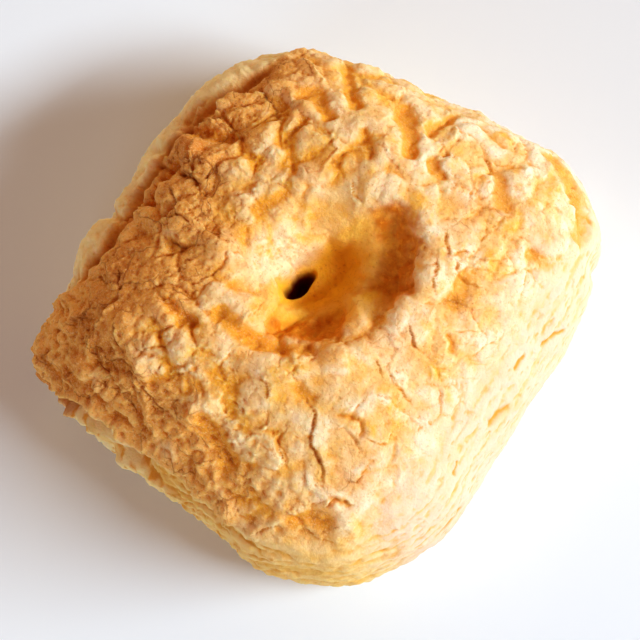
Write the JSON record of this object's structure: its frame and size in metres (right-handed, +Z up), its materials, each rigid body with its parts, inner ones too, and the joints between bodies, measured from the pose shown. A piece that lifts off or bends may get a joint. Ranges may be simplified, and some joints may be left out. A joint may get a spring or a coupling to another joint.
{
  "type": "butter biscuit",
  "caption": "Square-cut butter biscuit with rounded corners, a browned and cracked crust, flaky pale sides, a pressed hollow with a small hole on top, and a flat base.",
  "frame": {"origin": "under the middle of the biscuit's outline, at the height of its flat base", "axes": "+Z up out of the browned top, +Y along the longer side, +X along the shorter side"},
  "size_m": [0.07, 0.075, 0.0375],
  "materials": {
    "baked_crust": "baked wheat dough: floury golden-brown crust on top, pale yellow flaky crumb at the sides, matte"
  },
  "bodies": {
    "root": {"biscuit": "baked_crust"}
  },
  "joints": []
}
